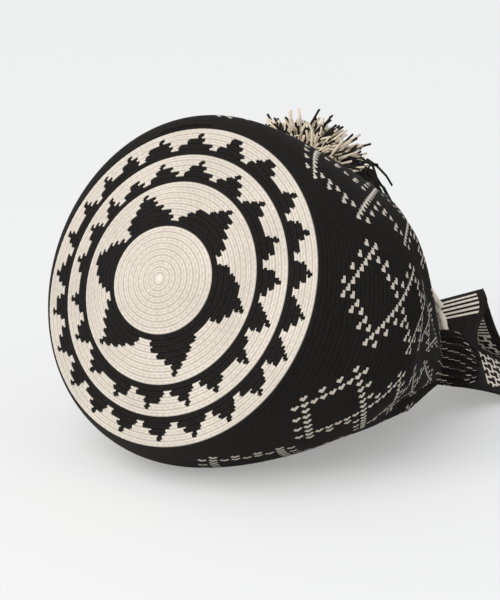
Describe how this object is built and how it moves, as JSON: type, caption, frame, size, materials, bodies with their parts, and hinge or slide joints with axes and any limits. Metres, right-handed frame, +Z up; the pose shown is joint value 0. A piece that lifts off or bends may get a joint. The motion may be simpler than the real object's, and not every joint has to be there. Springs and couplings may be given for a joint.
{
  "type": "wayuu mochila bag",
  "caption": "Round-based crocheted shoulder bag lying on its side, gathered shut by a drawstring with pompom ends, with a folded woven shoulder strap",
  "frame": {"origin": "on the floor under the middle of the bag's and the strap's box, without the free string ends and their pompoms", "axes": "+Z up from the floor; +Y along the gathered neck, out of the mouth; +X on the side to which the patterned round base looks"},
  "size_m": [0.332, 0.6407, 0.2655],
  "materials": {
    "crochet": "black and cream cotton yarn, crocheted",
    "woven_strap": "black and cream cotton yarn, woven",
    "drawstring": "plaited cream cotton yarn",
    "pompom_yarn": "cut cream and black yarn ends"
  },
  "bodies": {
    "root": {"bag_body": "crochet", "shoulder_strap": "woven_strap", "drawstring_loop": "drawstring", "drawstring_end_1": "drawstring", "drawstring_end_2": "drawstring", "pompom_1": "pompom_yarn", "pompom_2": "pompom_yarn"}
  },
  "joints": []
}
